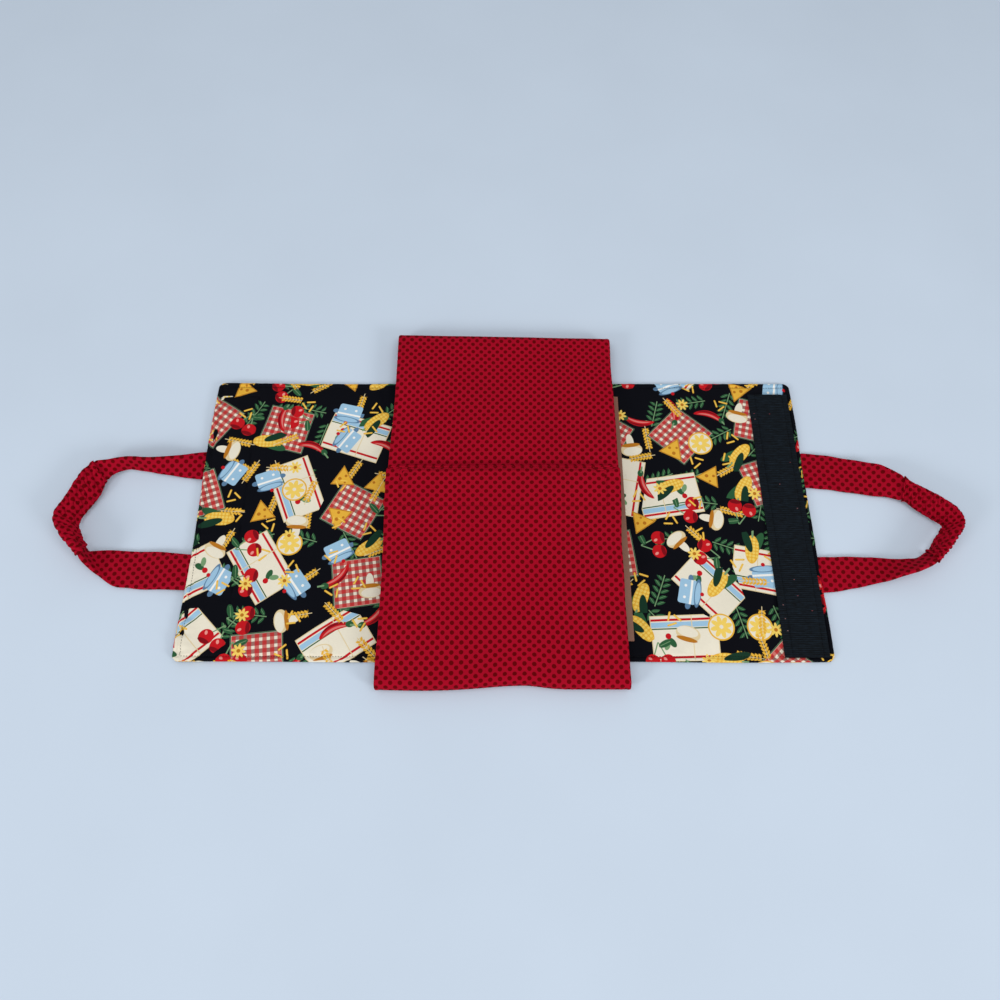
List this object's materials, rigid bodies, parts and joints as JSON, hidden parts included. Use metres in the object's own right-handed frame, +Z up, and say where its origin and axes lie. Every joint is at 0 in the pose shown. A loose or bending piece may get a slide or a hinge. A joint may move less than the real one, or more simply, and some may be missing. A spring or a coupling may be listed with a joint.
{
  "type": "casserole carrier",
  "caption": "Quilted cloth carrier that folds round an oblong baking dish: crossed padded panels, stiffening board, hook-and-loop strips and padded strap handles.",
  "frame": {"origin": "on the resting surface, under the middle of the base's underside cloth", "axes": "+X along the print panel to the end that has the hook-and-loop strip, +Y to the back flap, +Z up out of the resting surface"},
  "size_m": [1.0677, 0.452, 0.0369],
  "materials": {
    "print_cloth": "printed quilting cotton, dark ground with cream, red, gold and green motifs",
    "red_cloth": "quilting cotton with darker red dots",
    "batting": "needled cotton wadding",
    "hardboard": "brown hardboard, smooth face, sawn edges",
    "hook_tape": "black woven hook-and-loop tape"
  },
  "bodies": {
    "base": {"print_base_under_cloth": "print_cloth", "print_base_batting": "batting", "print_base_over_cloth": "print_cloth", "red_base_under_cloth": "red_cloth", "red_base_batting": "batting", "red_base_over_cloth": "red_cloth", "front_fold": "red_cloth", "back_fold": "red_cloth"},
    "board": {"base_board": "hardboard"},
    "front_flap": {"front_flap_under_cloth": "red_cloth", "front_flap_batting": "batting", "front_flap_over_cloth": "red_cloth", "flap_hook_strip": "hook_tape"},
    "back_flap": {"back_flap_under_cloth": "red_cloth", "back_flap_batting": "batting", "back_flap_over_cloth": "red_cloth", "flap_loop_strip": "hook_tape"},
    "right_wall": {"right_wall_under_cloth": "print_cloth", "right_wall_batting": "batting", "right_wall_over_cloth": "print_cloth"},
    "right_lid": {"right_lid_under_cloth": "print_cloth", "right_lid_batting": "batting", "right_lid_over_cloth": "print_cloth", "right_side_strip": "hook_tape"},
    "left_wall": {"left_wall_under_cloth": "print_cloth", "left_wall_batting": "batting", "left_wall_over_cloth": "print_cloth"},
    "left_lid": {"left_lid_under_cloth": "print_cloth", "left_lid_batting": "batting", "left_lid_over_cloth": "print_cloth", "left_side_strip": "hook_tape"},
    "right_handle": {"right_handle_strap": "red_cloth", "right_handle_grip": "red_cloth"},
    "left_handle": {"left_handle_strap": "red_cloth", "left_handle_grip": "red_cloth"}
  },
  "joints": [
    {"name": "front_flap_fold", "type": "hinge", "parent": "base", "child": "front_flap", "pos_m": [0, -0.199, 0.01], "axis": [1, 0, 0], "range_deg": [0, 177], "deforming": ["front_fold"]},
    {"name": "back_flap_fold", "type": "hinge", "parent": "base", "child": "back_flap", "pos_m": [0, 0.233, 0.01], "axis": [-1, 0, 0], "range_deg": [0, 177], "deforming": ["back_fold"]},
    {"name": "right_wall_fold", "type": "hinge", "parent": "base", "child": "right_wall", "pos_m": [0.148, 0, 0.00515], "axis": [0, 1, 0], "range_deg": [-90, 0]},
    {"name": "right_lid_fold", "type": "hinge", "parent": "right_wall", "child": "right_lid", "pos_m": [0.206, 0, 0.00515], "axis": [0, 1, 0], "range_deg": [-90, 0]},
    {"name": "left_wall_fold", "type": "hinge", "parent": "base", "child": "left_wall", "pos_m": [-0.148, 0, 0.00515], "axis": [0, 1, 0], "range_deg": [0, 90]},
    {"name": "left_lid_fold", "type": "hinge", "parent": "left_wall", "child": "left_lid", "pos_m": [-0.198, 0, 0.00515], "axis": [0, 1, 0], "range_deg": [0, 90]},
    {"name": "right_handle_swing", "type": "hinge", "parent": "right_lid", "child": "right_handle", "pos_m": [0.3698, -0.013, 0.0025], "axis": [0, -1, 0], "range_deg": [-90, 90]},
    {"name": "left_handle_swing", "type": "hinge", "parent": "left_lid", "child": "left_handle", "pos_m": [-0.3658, -0.009, 0.00525], "axis": [0, -1, 0], "range_deg": [-90, 90]},
    {"name": "board_slide", "type": "slide", "parent": "base", "child": "board", "axis": [1, 0, 0], "range_m": [0, 0.15]}
  ],
  "couplings": [
    {"joint": "back_flap_fold", "follows": "front_flap_fold", "ratio": 1}
  ]
}
